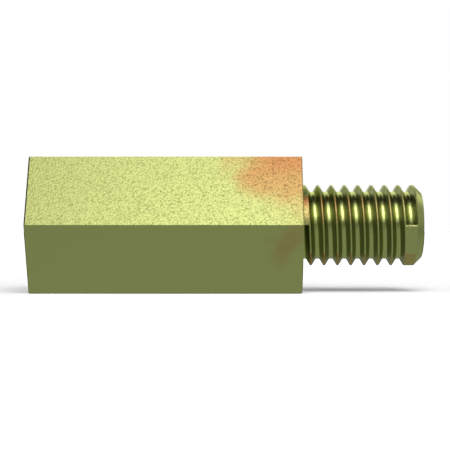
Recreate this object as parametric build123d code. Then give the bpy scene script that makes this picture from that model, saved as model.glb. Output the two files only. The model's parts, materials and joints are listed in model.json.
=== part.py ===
"""A male-female hex standoff, turned in one piece from hexagon brass bar.

The thread axis is X. The origin is the centre of the end face that the tapped hole opens in, the stud
points along +X, and two of the flats are level, so that the part lies on the lower one. A size is in
millimetres and an angle in degrees.
"""

import os
from math import radians, tan

from build123d import *

# Hexagon body
across_flats = 5.0
body_length = 10.0
edge_break = 0.03

# Coarse thread, the same size on the stud and in the hole
thread_diameter = 3.0
thread_pitch = 0.5

# Stud
stud_length = 4.5
stud_tip_chamfer = 0.28

# Tapped hole: drilled to the thread's core, with a conical floor and a countersunk mouth
drilled_depth = 7.0
drill_point_angle = 118.0
countersink_angle = 90.0
countersink_margin = 0.1

# Sizes that follow from those above
stud_radius = thread_diameter / 2
core_radius = (thread_diameter - thread_pitch) / 2
countersink_radius = stud_radius + countersink_margin
countersink_depth = (countersink_radius - core_radius) / tan(radians(countersink_angle / 2))
drill_point_depth = core_radius / tan(radians(drill_point_angle / 2))


def turned(*outline):
    """A solid of revolution about X from the (distance along X, radius) points of half its section."""
    section = make_face(Polyline(*outline, close=True))
    return revolve(section, axis=Axis.X)


def hexagon_body():
    """A length of hexagon bar with its corners on +Y and -Y, and a small break round both ends."""
    section = Plane.YZ * RegularPolygon(across_flats / 2, side_count=6, major_radius=False)
    bar = extrude(section, body_length)
    end_edges = bar.edges().filter_by(Axis.X, reverse=True)
    return chamfer(end_edges, edge_break)


def stud():
    """The male end at its full thread diameter, from inside the body to its chamfered tip."""
    root = body_length - thread_pitch
    tip = body_length + stud_length
    return turned(
        (root, 0),
        (root, stud_radius),
        (tip - stud_tip_chamfer, stud_radius),
        (tip, stud_radius - stud_tip_chamfer),
        (tip, 0),
    )


def tapped_hole():
    """What the drill and the countersink take out of the female end."""
    return turned(
        (0, 0),
        (0, countersink_radius),
        (countersink_depth, core_radius),
        (drilled_depth, core_radius),
        (drilled_depth + drill_point_depth, 0),
    )


def hex_standoff():
    return hexagon_body() + stud() - tapped_hole()


os.makedirs("parts", exist_ok=True)
export_step(hex_standoff(), "parts/hex_standoff.step")
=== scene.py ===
"""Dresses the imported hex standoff: one turned piece of tarnished brass on a pale studio floor.

The piece is machined as the real one is. A hexagon bar gets a turned stud with a thread cut along it,
and its other end is drilled, countersunk and tapped. Sizes are in metres and come from the frame. The
mesh is worked in millimetres, because cuts are more exact there, and brought back at the end. The
finish is laid out in millimetres too, from the same sizes.
"""

import json
from math import cos, pi, radians, sin, sqrt, tan

import bmesh
import bpy
from mathutils import Matrix, Vector


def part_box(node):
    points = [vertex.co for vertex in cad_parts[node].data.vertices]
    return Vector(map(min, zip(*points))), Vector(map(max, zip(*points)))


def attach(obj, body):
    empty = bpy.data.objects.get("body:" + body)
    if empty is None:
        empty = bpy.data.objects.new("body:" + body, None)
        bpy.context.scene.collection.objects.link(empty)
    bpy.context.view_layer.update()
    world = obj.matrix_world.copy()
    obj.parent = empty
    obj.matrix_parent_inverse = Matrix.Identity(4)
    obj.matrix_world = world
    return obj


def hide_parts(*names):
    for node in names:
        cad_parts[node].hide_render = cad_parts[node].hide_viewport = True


bl_info = {
    "name": "Hex Standoff",
    "version": (1, 0, 0),
    "blender": (4, 5, 0),
    "location": "3D View > Sidebar > Standoff",
    "description": "Machines a brass hex standoff from bar and sets it on a studio floor",
    "category": "Object",
}

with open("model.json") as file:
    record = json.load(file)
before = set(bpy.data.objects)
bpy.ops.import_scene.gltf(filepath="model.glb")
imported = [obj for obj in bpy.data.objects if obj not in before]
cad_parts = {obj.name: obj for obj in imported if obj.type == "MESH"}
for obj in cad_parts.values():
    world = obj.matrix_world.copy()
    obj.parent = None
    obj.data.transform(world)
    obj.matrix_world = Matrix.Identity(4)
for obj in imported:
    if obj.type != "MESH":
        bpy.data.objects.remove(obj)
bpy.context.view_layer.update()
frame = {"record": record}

MM = 0.001
TURN_STEPS = 96
ROUNDING_STEPS = 3
WELD_DISTANCE = 1e-5
FILE_ANGLE = radians(22.5)
FLARE_ANGLE = radians(12.0)
SMOOTH_ANGLE = radians(21.0)
FLOOR_REACH = 500.0 * MM
FLOOR_GAP = 0.01 * MM
CLIP_START = 1.0 * MM

# Width in millimetres over which one finish gives way to the next
BORDER = 0.01

# Values of the grain's noise between which it turns dull
GRAIN_LEVELS = 0.40, 0.85

# Soft patches of the stain on the lower front face, in millimetres: each one's place from the shoulder
# and over the thread axis, how far it reaches along and up, and then its strength
LOWER_PATCHES = (
    (-0.12, -0.22, 0.62, 0.46, 0.85),
    (-0.58, -0.58, 0.48, 0.42, 0.70),
    (-0.84, -1.02, 0.38, 0.45, 0.75),
    (-1.20, -0.58, 0.26, 0.16, 0.30),
    (-0.82, -1.60, 0.11, 0.28, 0.20),
)

# Soft edges of what stands round the part, as sines of the angle to the right, away from the camera or up
CEILING = 0.88, 0.65
RIGHT_WALL = 0.0, 0.9
FRONT_WALL = -0.3, -0.8
PANEL_FRONT = 0.2, -0.2
PANEL_FOOT = 0.1, 0.35
PANEL_SIDE_SQUARED = 0.12, 0.42
BACKDROP = 0.3, 0.6
BACKDROP_SIDE = 0.48, 0.08
BACKDROP_TOP = 0.28, 0.48

mounts = {mount["name"]: mount for mount in frame["record"]["mounts"]}
stud_mount = mounts["male_stud"]
hole_mount = mounts["female_thread"]
box_low, box_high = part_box("hex_standoff")
box_centre = (box_low + box_high) / 2
shoulder_place = mounts["shoulder_seat"]["pos_m"][0]
hole_start = hole_mount["pos_m"][0]


def length(name, description, default):
    """A length in metres that a user can change."""
    return bpy.props.FloatProperty(
        name=name, description=description, default=default, min=0.0, precision=5, unit="LENGTH"
    )


def share(name, description, default):
    """A number from 0 to 1 that a user can change."""
    return bpy.props.FloatProperty(name=name, description=description, default=default, min=0.0, max=1.0)


def colour(name, description, default):
    """A linear colour that a user can change."""
    return bpy.props.FloatVectorProperty(
        name=name, description=description, default=default, subtype="COLOR", min=0.0, max=1.0
    )


def angle(name, description, degrees):
    """An angle that a user can change, given here in degrees."""
    return bpy.props.FloatProperty(
        name=name, description=description, default=radians(degrees), subtype="ANGLE"
    )


class StandoffSizes(bpy.types.PropertyGroup):
    """The sizes that the bar is machined to."""

    across_flats: length("Across Flats", "Width of the hexagon bar", box_high.z - box_low.z)
    body_length: length("Body Length", "Length of the hexagon", shoulder_place)
    edge_break: length("Edge Break", "Width of the broken edges at the ends of the hexagon", 0.03 * MM)
    stud_length: length("Stud Length", "From the shoulder to the tip", box_high.x - shoulder_place)
    stud_radius: length("Stud Radius", "Over the crests of the thread", stud_mount["dims"]["r_mm"] * MM)
    threaded_length: length(
        "Stud Cylinder", "From the shoulder to the tip chamfer", stud_mount["dims"]["length_mm"] * MM
    )
    core_radius: length("Core Radius", "At the root of the stud's thread", hole_mount["dims"]["r_mm"] * MM)
    crest_land: length("Crest Land", "Flat left on top of each thread", 0.05 * MM)
    root_flat: length("Root Flat", "Flat at the bottom of each groove", 0.15 * MM)
    unthreaded_tip: length("Unthreaded Tip", "From the thread's end to the tip", 0.478 * MM)
    lip_width: length("Lip Width", "Filed lip where the thread starts", 0.045 * MM)
    crest_rounding: length("Crest Rounding", "Rounding beside the crests of the thread", 0.022 * MM)
    root_rounding: length("Root Rounding", "Rounding beside the roots of the thread", 0.032 * MM)
    countersink_depth: length("Countersink Depth", "From the end face to the hole's wall", hole_start)
    drilled_depth: length(
        "Drilled Depth", "To the end of the hole's wall", hole_start + hole_mount["dims"]["length_mm"] * MM
    )
    tapped_depth: length("Tapped Depth", "How far the hole is threaded", 6.0 * MM)
    drill_point: angle("Drill Point", "Full angle of the hole's conical floor", 118.0)

    @property
    def pitch(self):
        """The thread's pitch: a coarse thread is drilled one pitch under its diameter."""
        return 2 * (self.stud_radius - self.core_radius)

    def mm(self, *names):
        """The lengths of these names in millimetres."""
        return [getattr(self, name) / MM for name in names]


class BrassFinish(bpy.types.PropertyGroup):
    """The colours and marks of the brass."""

    brass: colour("Brass", "Clean metal", (0.68, 0.75, 0.255))
    tarnish: colour("Tarnish", "Heat-stained patches", (0.68, 0.333, 0.119))
    # Painted shade: this darker colour stands in for shade in the thread's grooves and in the shoulder's
    # corner by the stud
    groove: colour("Groove", "Dull metal on the flanks of the thread", (0.30, 0.33, 0.16))
    edge_tint: colour("Edge Tint", "What the metal keeps of white at a glancing angle", (1.0, 1.0, 0.75))
    # Painted shade: a dark reflection drawn along the upper edges of the plain end
    edge_shade: colour("Edge Film", "Dark film on the plain end's upper edges", (0.03, 0.033, 0.018))
    # Painted shade: how strongly the thread's flanks are darkened
    flank_shade: share("Flank Tone", "How much of the groove's colour the flanks take", 0.85)
    roughness: share("Roughness", "Blur of what the metal reflects", 0.26)
    grain_dullness: share("Grain Dullness", "Roughness that the drawn grain adds", 0.115)
    speckle_dullness: share("Speckle Dullness", "Roughness that the grain's high spots add to that", 0.29)
    flank_dullness: share("Flank Dullness", "Roughness that the flanks of the thread add", 0.03)
    grain_size: length("Grain Size", "Size of one grain of the drawn surface", 0.07 * MM)
    grain_depth: length("Grain Depth", "Depth of the grain on the hexagon", 0.006 * MM)
    crest_grain_depth: length("Crest Grain Depth", "Depth of the grain on the crests", 0.012 * MM)
    chatter_size: length("Chatter Size", "Size of the cutter's waves along the thread", 0.2 * MM)
    chatter_depth: length("Chatter Depth", "Depth of the cutter's waves", 0.0072 * MM)
    turning_width: length("Turning Width", "Width of a turning mark on the end faces", MM / 45)
    turning_depth: length("Turning Depth", "Depth of the turning marks", 0.009 * MM)
    drift_size: length("Drift Size", "Size of the waves in the stain's outline", MM / 1.6)


class StudioStage(bpy.types.PropertyGroup):
    """The camera, the lights and the floor."""

    camera_distance: length("Camera Distance", "From the camera to the thread axis", 55.0 * MM)
    camera_place: length("Camera Place", "How far along the part the camera stands", 7.1775 * MM)
    lens: bpy.props.FloatProperty(name="Lens", description="Focal length in millimetres", default=117.2)
    floor: colour("Floor", "Floor under the part", (0.80, 0.80, 0.80))
    # Painted reflection: the floor glows with this colour in the metal only, brightest near the part like a
    # painted pool of light
    floor_sheen: colour("Floor Sheen", "How the floor shows in the metal", (0.257, 0.268, 0.276))
    sheen_start: length("Sheen Start", "Where the floor's sheen begins to fade", 6.0 * MM)
    sheen_end: length("Sheen End", "Where the floor's sheen has faded", 22.0 * MM)
    sheen_fade: share("Sheen Fade", "How much of its sheen the floor loses there", 0.3)
    wall: share("Wall", "Light from the walls all round", 0.02)
    right_wall: share("Right Wall", "Light that the wall on the right adds", 0.25)
    front_wall: share("Front Wall", "Light that the wall behind the camera adds", 0.02)
    side_panels: share("Side Panels", "Light from the panels at both sides of the camera", 0.5)
    softbox_distance: length("Softbox Distance", "From the part to the softbox", 200.0 * MM)
    softbox_width: length("Softbox Width", "Width of the softbox", 106.0 * MM)
    softbox_length: length("Softbox Length", "Length of the softbox", 332.0 * MM)
    softbox_height: angle("Softbox Height", "How high the softbox stands over the horizon", 46.0)
    softbox_side: angle("Softbox Side", "How far the softbox stands to the right", 5.5)
    softbox_colour: colour("Softbox Colour", "Colour of the softbox", (0.97, 0.94, 1.0))
    softbox_power: bpy.props.FloatProperty(
        name="Softbox Power", description="Power of the softbox", default=0.2875, unit="POWER"
    )


class Wire:
    """An output socket of a node tree. Arithmetic on it adds Math nodes."""

    def __init__(self, tree, socket=None):
        self.tree = tree
        self.socket = socket

    def add(self, kind, inputs, output=0, **settings):
        """A node of this kind, with its settings, then its sockets' values or links."""
        node = self.tree.nodes.new(kind)
        for name, value in settings.items():
            setattr(node, name, value)
        for name, value in inputs.items():
            if isinstance(value, Wire):
                self.tree.links.new(value.socket, node.inputs[name])
            else:
                node.inputs[name].default_value = value
        return Wire(self.tree, node.outputs[output]) if node.outputs else None

    def parts(self, vector):
        """The three numbers of a vector."""
        node = self.add("ShaderNodeSeparateXYZ", {"Vector": vector}).socket.node
        return [Wire(self.tree, socket) for socket in node.outputs]

    def mix(self, factor, first, second):
        """A colour from first, at a factor of 0, to second, at 1."""
        return self.add("ShaderNodeMix", {0: factor, 6: first, 7: second}, output=2, data_type="RGBA")

    def math(self, operation, *values):
        return self.add("ShaderNodeMath", dict(enumerate(values)), operation=operation)

    def __add__(self, other):
        return self.math("ADD", self, other)

    __radd__ = __add__

    def __sub__(self, other):
        return self.math("SUBTRACT", self, other)

    def __rsub__(self, other):
        return self.math("SUBTRACT", other, self)

    def __mul__(self, other):
        return self.math("MULTIPLY", self, other)

    __rmul__ = __mul__

    def __truediv__(self, other):
        return self.math("DIVIDE", self, other)

    def __pow__(self, other):
        return self.math("POWER", self, other)

    def most(self, other):
        return self.math("MAXIMUM", self, other)

    def least(self, other):
        return self.math("MINIMUM", self, other)

    def rise(self, low, high):
        """0 below low, 1 above high, smooth between. A falling step has low above high."""
        return self.add(
            "ShaderNodeMapRange",
            {"Value": self, "From Min": low, "From Max": high},
            interpolation_type="SMOOTHSTEP",
        )


def blank_nodes(owner):
    """The emptied node tree of a material, a world or a lamp, ready for new nodes."""
    owner.use_nodes = True
    owner.node_tree.nodes.clear()
    return Wire(owner.node_tree)


def opaque(rgb):
    """A colour as a socket takes it, with its alpha."""
    return (*rgb, 1.0)


def blank(bm, name):
    """An object of this mesh, facing outwards, to be worked on."""
    bmesh.ops.recalc_face_normals(bm, faces=bm.faces)
    mesh = bpy.data.meshes.new(name)
    bm.to_mesh(mesh)
    bm.free()
    obj = bpy.data.objects.new(name, mesh)
    bpy.context.scene.collection.objects.link(obj)
    return obj


def hexagon_bar(sizes):
    """Hexagon bar along X, corners to the front and back, with the edges of its ends broken."""
    width, bar_length, edge = sizes.mm("across_flats", "body_length", "edge_break")
    bm = bmesh.new()
    along_x = Matrix.Rotation(pi / 2, 4, "Y")
    bmesh.ops.create_circle(bm, cap_ends=True, segments=6, radius=width / sqrt(3), matrix=along_x)
    far_end = bmesh.ops.extrude_face_region(bm, geom=bm.faces[:])["geom"]
    moved = [item for item in far_end if isinstance(item, bmesh.types.BMVert)]
    bmesh.ops.translate(bm, verts=moved, vec=(bar_length, 0, 0))
    bmesh.ops.recalc_face_normals(bm, faces=bm.faces)
    ends = [item for item in bm.edges if abs(item.verts[0].co.x - item.verts[1].co.x) < edge]
    bmesh.ops.bevel(bm, geom=ends, offset=edge, segments=1, profile=0.5, affect="EDGES", material=-1)
    return blank(bm, "bar")


def turned(name, outline):
    """A solid of revolution about X from the (distance along X, radius) points of half its section."""
    bm = bmesh.new()
    verts = [bm.verts.new((x, -radius, 0)) for x, radius in outline]
    edges = [bm.edges.new(pair) for pair in zip(verts, verts[1:])]
    half_step = Matrix.Rotation(pi / TURN_STEPS, 3, "X")
    bmesh.ops.rotate(bm, verts=verts, cent=(0, 0, 0), matrix=half_step)
    bmesh.ops.spin(
        bm, geom=verts + edges, axis=(1, 0, 0), angle=2 * pi, steps=TURN_STEPS, use_merge=True
    )
    bmesh.ops.remove_doubles(bm, verts=bm.verts, dist=WELD_DISTANCE)
    return blank(bm, name)


def thread_cutter(name, section, roundings, turns, pitch, way):
    """A right-hand helix of a cutter's section, which starts at the front and goes along X by its way.

    The roundings, where there are any, are those of the section's mouth and of its bottom.
    """
    bm = bmesh.new()
    corners = [bm.verts.new((x, -radius, 0)) for x, radius in section]
    bm.faces.new(corners)
    mouth, bottom = corners[0:4:3], corners[1:3]
    for pair, rounding in zip((mouth, bottom), roundings):
        bmesh.ops.bevel(
            bm,
            geom=pair,
            offset=rounding,
            segments=ROUNDING_STEPS,
            profile=0.5,
            affect="VERTICES",
            material=-1,
        )
    bmesh.ops.spin(
        bm,
        geom=bm.faces[:],
        axis=(way, 0, 0),
        angle=2 * pi * turns,
        dvec=(way * pitch / TURN_STEPS, 0, 0),
        steps=round(turns * TURN_STEPS),
    )
    return blank(bm, name)


def groove_section(centre, mouth, bottom, mouth_radius, bottom_radius, overrun):
    """A V groove's section: its bottom between the corners of its mouth, and a flare past the surface."""
    outward = 1 if mouth_radius > bottom_radius else -1
    flare = outward * overrun * tan(FLARE_ANGLE)
    return [
        (centre - mouth / 2, mouth_radius),
        (centre - bottom / 2, bottom_radius),
        (centre + bottom / 2, bottom_radius),
        (centre + mouth / 2, mouth_radius),
        (centre + mouth / 2 + overrun, mouth_radius + flare),
        (centre + mouth / 2 + overrun, mouth_radius + outward * overrun),
        (centre - mouth / 2 - overrun, mouth_radius + outward * overrun),
        (centre - mouth / 2 - overrun, mouth_radius + flare),
    ]


def work(piece, tool, operation):
    """Joins the tool to the piece or cuts it away, and puts the tool aside."""
    step = piece.modifiers.new("work", "BOOLEAN")
    step.operation = operation
    step.solver = "EXACT"
    step.object = tool
    depsgraph = bpy.context.evaluated_depsgraph_get()
    piece.data = bpy.data.meshes.new_from_object(piece.evaluated_get(depsgraph))
    piece.modifiers.clear()
    bpy.data.objects.remove(tool)


def lip_file(first, last, crest, depth):
    """What a file takes off the lip at the front where the thread starts, between two places along X."""
    bm = bmesh.new()
    bmesh.ops.create_cube(bm, size=2 * depth)
    bmesh.ops.translate(bm, verts=bm.verts, vec=(0, -depth, 0))
    bmesh.ops.scale(bm, verts=bm.verts, vec=((last - first) / (2 * depth), 1, 1 / cos(FILE_ANGLE)))
    bmesh.ops.rotate(bm, verts=bm.verts, cent=(0, 0, 0), matrix=Matrix.Rotation(-FILE_ANGLE, 3, "X"))
    bmesh.ops.translate(bm, verts=bm.verts, vec=((first + last) / 2, -crest, -depth))
    return blank(bm, "file")


def threaded_stud(sizes):
    """The stud, from inside the bar to its chamfered tip, with its thread cut back to the shoulder."""
    shoulder, stud_length, cylinder = sizes.mm("body_length", "stud_length", "threaded_length")
    crest, core, pitch = sizes.mm("stud_radius", "core_radius", "pitch")
    land, root_flat, overrun = sizes.mm("crest_land", "root_flat", "edge_break")
    unthreaded, lip = sizes.mm("unthreaded_tip", "lip_width")
    root = shoulder - pitch
    chamfer_start = shoulder + cylinder
    tip = shoulder + stud_length
    tip_radius = crest - (tip - chamfer_start)
    stud = turned(
        "stud", [(root, 0), (root, crest), (chamfer_start, crest), (tip, tip_radius), (tip, 0)]
    )
    start = tip - unthreaded
    mouth = pitch - land
    section = groove_section(start, mouth, root_flat, crest, core, overrun)
    roundings = sizes.mm("crest_rounding", "root_rounding")
    turns = round((start - shoulder) / pitch)
    work(stud, thread_cutter("die", section, roundings, turns, pitch, -1), "DIFFERENCE")
    front = crest * cos(pi / TURN_STEPS)
    work(stud, lip_file(start - mouth / 2, start + mouth / 2, front, lip), "DIFFERENCE")
    return stud


def drill_and_countersink(sizes):
    """What the drill and the countersink take out of the plain end."""
    wall, mouth, end, over = sizes.mm("core_radius", "countersink_depth", "drilled_depth", "edge_break")
    point = end + wall / tan(sizes.drill_point / 2)
    return turned(
        "drill", [(-over, 0), (-over, wall + mouth + over), (mouth, wall), (end, wall), (point, 0)]
    )


def tap(sizes):
    """What the tap takes out of the hole's wall, from outside the end face inwards."""
    crest, core, pitch, depth = sizes.mm("stud_radius", "core_radius", "pitch", "tapped_depth")
    land, root_flat, overrun = sizes.mm("crest_land", "root_flat", "edge_break")
    turns = round(depth / pitch) + 1
    section = groove_section(-pitch, pitch - root_flat, land, core, crest, overrun)
    return thread_cutter("tap", section, (), turns, pitch, 1)


def shade_by_angle(mesh):
    """Smooth shading round the turned faces, and sharp edges where faces meet at more than a turning step.

    The mesh is brought back from millimetres to metres here.
    """
    bm = bmesh.new()
    bm.from_mesh(mesh)
    bmesh.ops.scale(bm, vec=(MM, MM, MM), verts=bm.verts)
    for face in bm.faces:
        face.smooth = True
        face.material_index = 0
    for edge in bm.edges:
        edge.smooth = edge.calc_face_angle(0.0) < SMOOTH_ANGLE
    bm.to_mesh(mesh)
    bm.free()


class SurfaceMap:
    """Where a point of the surface lies on the part, in millimetres, and masks of the part's regions."""

    def __init__(self, wire, sizes):
        shoulder, cylinder, stud_length = sizes.mm("body_length", "threaded_length", "stud_length")
        width, crest, core, edge = sizes.mm("across_flats", "stud_radius", "core_radius", "edge_break")
        chamfer = shoulder + cylinder
        tip = shoulder + stud_length
        skin = (width / 2 + crest) / 2
        # Rings of the shoulder face round the stud between which its painted shade fades out
        full_shade_ring, no_shade_ring = crest + 0.10, crest + 0.35
        corner_blend = 5 * BORDER

        place = wire.add("ShaderNodeTexCoord", {}, output="Object")
        self.spot = wire.add("ShaderNodeVectorMath", {0: place, "Scale": 1 / MM}, operation="SCALE")
        x, self.y, self.z = wire.parts(self.spot)
        self.radius = (self.y * self.y + self.z * self.z) ** 0.5
        self.past_shoulder = x - shoulder

        outside = self.radius.rise(skin, skin + BORDER)
        on_stud = x.rise(shoulder, shoulder + BORDER)
        on_shoulder = x.rise(shoulder - BORDER, shoulder) * (1 - on_stud)
        above_root = self.radius.rise(core + BORDER, core + 3 * BORDER)
        below_crest = self.radius.rise(crest - BORDER, crest - 3 * BORDER)
        by_plain_end = x.rise(0.0, BORDER / 2) * x.rise(edge + 3 * BORDER, edge + BORDER)
        self.on_upper_half = self.z.rise(-corner_blend, corner_blend)
        self.on_crest = on_stud * self.radius.rise(crest - 2 * BORDER, crest - BORDER)
        self.on_thread = on_stud * x.rise(chamfer, chamfer - BORDER)
        self.on_flank = self.on_thread * above_root * below_crest
        self.on_hexagon = outside * x.rise(0.0, BORDER) * x.rise(shoulder, shoulder - BORDER)
        self.on_end = x.rise(BORDER, 0.0) + on_shoulder + x.rise(tip - BORDER, tip)
        # Where the painted dark reflection lies: the plain end's upper edges
        self.on_edge_shade = outside * by_plain_end * self.on_upper_half
        # Painted shade in the shoulder's corner round the stud
        self.shaded_corner = on_shoulder * self.radius.rise(no_shade_ring, full_shade_ring)


def machined_surface(wire, at, finish):
    """The normal and the roughness: a drawn grain, turning marks on the ends and chatter along the thread."""

    def noise(size, detail):
        return wire.add("ShaderNodeTexNoise", {"Vector": at.spot, "Scale": MM / size, "Detail": detail})

    grain = noise(finish.grain_size, 2.0)
    chatter = noise(finish.chatter_size, 1.0)
    turning = wire.add(
        "ShaderNodeTexNoise",
        {"W": at.radius, "Scale": MM / finish.turning_width, "Detail": 2.0},
        noise_dimensions="1D",
    )
    relief = grain * (finish.grain_depth * at.on_hexagon + finish.crest_grain_depth * at.on_crest)
    relief = relief + finish.chatter_depth * at.on_thread * chatter
    relief = relief + finish.turning_depth * at.on_end * turning
    normal = wire.add("ShaderNodeBump", {"Strength": 1.0, "Distance": 1.0, "Height": relief})
    dullness = finish.grain_dullness + finish.speckle_dullness * grain.rise(*GRAIN_LEVELS)
    roughness = finish.roughness + (at.on_hexagon + at.on_crest) * dullness
    return normal, roughness + finish.flank_dullness * at.on_flank


def upper_stain(at, drift):
    """The upper front face's stain: a ragged patch by the shoulder, its straw rim and a tint at the end."""
    patch_length, edge_start, edge_end, edge_drift = 2.4, -0.45, 0.40, 0.9
    top_band, top_lean, top_start, top_end = (1.75, 2.25), 0.45, -0.65, 0.55
    foot_height, foot_fall, foot_blur, blur_growth, foot_drift = 1.2, 0.2, 0.8, 0.25, 0.5
    pale_band, pale_strength = (2.4, 1.5), 0.26
    straw_rim, straw_band, straw_strength = (-0.8, -0.3), (1.5, 2.5), 0.36
    end_reach, end_band, end_strength, end_growth = (-1.2, 0.2), (0.0, 0.8), 0.12, 0.33

    along = at.past_shoulder + patch_length + edge_drift * drift
    top = at.z.rise(*top_band)
    left_edge = (along - top_lean * top).rise(edge_start + top_start * top, edge_end + top_end * top)
    over_foot = at.z + foot_drift * drift - foot_height + foot_fall * along
    low_edge = (over_foot / (foot_blur + blur_growth * along)).rise(-0.5, 0.5)
    patch = left_edge * low_edge * (1 - pale_strength * at.z.rise(*pale_band))
    straw = straw_strength * along.rise(*straw_rim) * at.z.rise(*straw_band)
    end_tint = at.past_shoulder.rise(*end_reach) * (end_strength + end_growth * at.z.rise(*end_band))
    return patch.most(straw).most(end_tint) * at.on_upper_half


def lower_stain(at, drift):
    """The stain on the lower front face: soft patches that run together."""
    stain_strength, patch_drift = 0.36, 2.5
    clear, full = 2.0, -0.6

    def patch(along, up, reach_along, reach_up, strength):
        aside, above = (at.past_shoulder - along) / reach_along, (at.z - up) / reach_up
        return strength * (aside ** 2 + above ** 2 + patch_drift * drift).rise(clear, full)

    patches = sum(patch(*values) for values in LOWER_PATCHES)
    return stain_strength * patches.least(1.0) * (1 - at.on_upper_half)


def thread_stain(at, drift):
    """The stain on the crests, weaker towards the tip: over the upper front and along the underside."""
    front_foot, front_top = (-0.2, 0.45), (1.08, 1.06)
    front_strength, front_fade, front_drift = 0.96, 0.17, 0.5
    collar_end, collar_top, collar_clean = (0.26, 0.24), (0.9, 0.5), 0.58
    under_top, under_strength, under_fade, under_least = (-1.05, -1.07), 1.06, 0.19, 0.40

    front = front_strength - front_fade * at.past_shoulder + front_drift * drift
    front = front * at.z.rise(*front_foot) * at.z.rise(*front_top)
    on_collar = at.past_shoulder.rise(*collar_end) * at.z.rise(*collar_top)
    under = (under_strength - under_fade * at.past_shoulder).most(under_least)
    return front * (1 - collar_clean * on_collar) + under * at.z.rise(*under_top)


def heat_stain(wire, at, finish):
    """How far the brass has turned to tarnish: by the shoulder, on the front faces and along the crests."""
    back_edge, back_drift = (0.9, -0.7), 1.6
    waves = {"Vector": at.spot, "Scale": MM / finish.drift_size, "Detail": 3.0, "Roughness": 0.6}
    drift = wire.add("ShaderNodeTexNoise", waves) - 0.5
    towards_front = (at.y + back_drift * drift).rise(*back_edge)
    on_faces = (upper_stain(at, drift) + lower_stain(at, drift)) * at.on_hexagon * towards_front
    return on_faces + at.on_crest * thread_stain(at, drift)


def tarnished_brass(finish, sizes):
    """Fine-grained brass with heat-stained patches by the shoulder."""
    material = bpy.data.materials.new("tarnished_brass")
    wire = blank_nodes(material)
    at = SurfaceMap(wire, sizes)
    normal, roughness = machined_surface(wire, at, finish)
    # Painted shade on the thread's flanks and in the shoulder's corner, mixed over the metal colour
    painted_shade = finish.flank_shade * at.on_flank + at.shaded_corner
    metal = wire.mix(heat_stain(wire, at, finish), opaque(finish.brass), opaque(finish.tarnish))
    metal = wire.mix(painted_shade, metal, opaque(finish.groove))
    # Painted shade: a dark line on the plain end's upper edges
    metal = wire.mix(at.on_edge_shade, metal, opaque(finish.edge_shade))
    shader = wire.add(
        "ShaderNodeBsdfPrincipled",
        {
            "Base Color": metal,
            "Metallic": 1.0,
            "Roughness": roughness,
            "Specular Tint": opaque(finish.edge_tint),
            "Normal": normal,
        },
    )
    wire.add("ShaderNodeOutputMaterial", {"Surface": shader})
    return material


def pale_floor(stage):
    """A plain matt floor that shows in the metal as a painted glow, which fades away from the part like a
    painted pool of light.
    """
    material = bpy.data.materials.new("pale_floor")
    wire = blank_nodes(material)
    paint = wire.add("ShaderNodeBsdfDiffuse", {"Color": opaque(stage.floor)})
    place = wire.add("ShaderNodeTexCoord", {}, output="Object")
    distance = wire.add(
        "ShaderNodeVectorMath", {0: place, 1: box_centre}, output="Value", operation="DISTANCE"
    )
    # Painted pool of light: the glow seen in the metal fades with distance from the part
    faded_sheen = [value * (1 - stage.sheen_fade) for value in stage.floor_sheen]
    near = wire.add("ShaderNodeEmission", {"Color": opaque(stage.floor_sheen)})
    far = wire.add("ShaderNodeEmission", {"Color": opaque(faded_sheen)})
    faded = distance.rise(stage.sheen_start, stage.sheen_end)
    sheen = wire.add("ShaderNodeMixShader", {0: faded, 1: near, 2: far})
    # The painted glow shows only in reflections, and the camera sees the plain floor
    in_metal = wire.add("ShaderNodeLightPath", {}, output="Is Glossy Ray")
    shader = wire.add("ShaderNodeMixShader", {0: in_metal, 1: paint, 2: sheen})
    wire.add("ShaderNodeOutputMaterial", {"Surface": shader})
    return material


class STANDOFF_OT_machine_standoff(bpy.types.Operator):
    """Machine the standoff from hexagon bar, with both of its threads"""

    bl_idname = "standoff.machine_standoff"
    bl_label = "Machine Standoff"

    def execute(self, context):
        sizes = context.scene.standoff_sizes
        piece = hexagon_bar(sizes)
        work(piece, drill_and_countersink(sizes), "DIFFERENCE")
        work(piece, tap(sizes), "DIFFERENCE")
        work(piece, threaded_stud(sizes), "UNION")
        shade_by_angle(piece.data)
        piece.name = "brass_standoff"
        piece.data.materials.clear()
        piece.data.materials.append(tarnished_brass(context.scene.standoff_finish, sizes))
        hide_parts("hex_standoff")
        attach(piece, "root")
        return {"FINISHED"}


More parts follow.
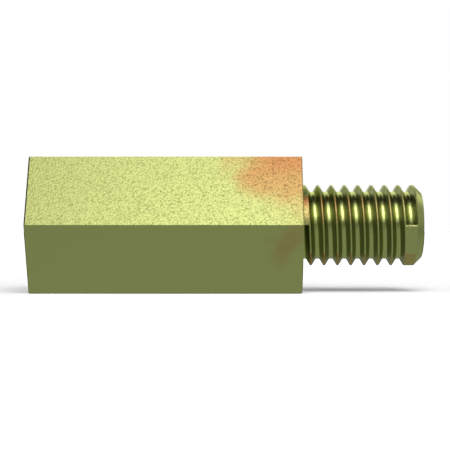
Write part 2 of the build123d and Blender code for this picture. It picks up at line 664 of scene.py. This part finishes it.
class STANDOFF_OT_set_stage(bpy.types.Operator):
    """Set the floor, the lights and the camera"""

    bl_idname = "standoff.set_stage"
    bl_label = "Set Stage"

    def execute(self, context):
        stage = context.scene.standoff_stage
        self.lay_floor(stage)
        self.surround(context, stage)
        self.hang_softbox(context, stage)
        self.place_camera(context, stage)
        context.scene.view_settings.view_transform = "Standard"
        return {"FINISHED"}

    def lay_floor(self, stage):
        """A floor just under the part, which shows nothing but the part's shadow."""
        bm = bmesh.new()
        bmesh.ops.create_grid(bm, x_segments=1, y_segments=1, size=FLOOR_REACH)
        bmesh.ops.translate(bm, verts=bm.verts, vec=(0, 0, box_low.z - FLOOR_GAP))
        floor = blank(bm, "floor")
        floor.data.materials.append(pale_floor(stage))
        floor.is_shadow_catcher = True

    def surround(self, context, stage):
        """A white background, and what the metal reflects: dim walls, side panels and a backdrop."""
        world = bpy.data.worlds.new("studio")
        context.scene.world = world
        wire = blank_nodes(world)
        right, away, up = wire.parts(wire.add("ShaderNodeTexCoord", {}, output="Generated"))
        below_ceiling = up.rise(*CEILING)
        walls = stage.wall + stage.right_wall * right.rise(*RIGHT_WALL)
        walls = walls + stage.front_wall * away.rise(*FRONT_WALL)
        panels = (right * right).rise(*PANEL_SIDE_SQUARED) * away.rise(*PANEL_FRONT) * up.rise(*PANEL_FOOT)
        dim = (walls * below_ceiling).most(stage.side_panels * panels)

        outer, inner = BACKDROP_SIDE
        foot = right.rise(-outer, -inner) * right.rise(outer, inner)
        backdrop = away.rise(*BACKDROP) * below_ceiling * foot.most(up.rise(*BACKDROP_TOP))
        seen, through_glass, in_metal = [
            wire.add("ShaderNodeLightPath", {}, output=name)
            for name in ("Is Camera Ray", "Is Transmission Ray", "Is Glossy Ray")
        ]
        white = seen + through_glass + in_metal * backdrop
        background = wire.add("ShaderNodeBackground", {"Color": white + (1 - white) * dim, "Strength": 1.0})
        wire.add("ShaderNodeOutputWorld", {"Surface": background})

    def hang_softbox(self, context, stage):
        """A long softbox over the camera, brightest half way along."""
        lamp = bpy.data.lights.new("softbox", "AREA")
        lamp.shape = "RECTANGLE"
        lamp.size = stage.softbox_width
        lamp.size_y = stage.softbox_length
        lamp.energy = stage.softbox_power
        lamp.color = stage.softbox_colour
        wire = blank_nodes(lamp)
        _, along, _ = wire.parts(wire.add("ShaderNodeNewGeometry", {}, output="Parametric"))
        near_end, middle, far_end = 0.0, 0.5, 1.0
        glow = along.rise(near_end, middle) * along.rise(far_end, middle)
        shine = wire.add("ShaderNodeEmission", {"Strength": glow})
        wire.add("ShaderNodeOutputLight", {"Surface": shine})
        softbox = bpy.data.objects.new("softbox", lamp)
        context.scene.collection.objects.link(softbox)
        height, side = stage.softbox_height, stage.softbox_side
        direction = Vector((sin(side) * cos(height), -cos(side) * cos(height), sin(height)))
        softbox.location = box_centre + direction * stage.softbox_distance
        softbox.rotation_euler = direction.to_track_quat("Z", "Y").to_euler()

    def place_camera(self, context, stage):
        """A camera square to the part, level with the thread axis."""
        data = bpy.data.cameras.new("camera")
        data.lens = stage.lens
        data.clip_start = CLIP_START
        camera = bpy.data.objects.new("camera", data)
        camera.location = (stage.camera_place, -stage.camera_distance, 0.0)
        camera.rotation_euler = (pi / 2, 0.0, 0.0)
        context.scene.collection.objects.link(camera)
        context.scene.camera = camera


class STANDOFF_PT_sidebar(bpy.types.Panel):
    """The sizes, the finish and the stage, with the steps that use them"""

    bl_idname = "STANDOFF_PT_sidebar"
    bl_label = "Hex Standoff"
    bl_space_type = "VIEW_3D"
    bl_region_type = "UI"
    bl_category = "Standoff"

    def draw(self, context):
        scene = context.scene
        for group in (scene.standoff_sizes, scene.standoff_finish, scene.standoff_stage):
            box = self.layout.box()
            for name in group.__annotations__:
                box.prop(group, name)
        self.layout.operator(STANDOFF_OT_machine_standoff.bl_idname)
        self.layout.operator(STANDOFF_OT_set_stage.bl_idname)


CLASSES = (
    StandoffSizes,
    BrassFinish,
    StudioStage,
    STANDOFF_OT_machine_standoff,
    STANDOFF_OT_set_stage,
    STANDOFF_PT_sidebar,
)


def register():
    for item in CLASSES:
        bpy.utils.register_class(item)
    bpy.types.Scene.standoff_sizes = bpy.props.PointerProperty(type=StandoffSizes)
    bpy.types.Scene.standoff_finish = bpy.props.PointerProperty(type=BrassFinish)
    bpy.types.Scene.standoff_stage = bpy.props.PointerProperty(type=StudioStage)


def unregister():
    del bpy.types.Scene.standoff_stage
    del bpy.types.Scene.standoff_finish
    del bpy.types.Scene.standoff_sizes
    for item in reversed(CLASSES):
        bpy.utils.unregister_class(item)


def main():
    register()
    bpy.ops.standoff.machine_standoff()
    bpy.ops.standoff.set_stage()


if __name__ == "__main__":
    main()
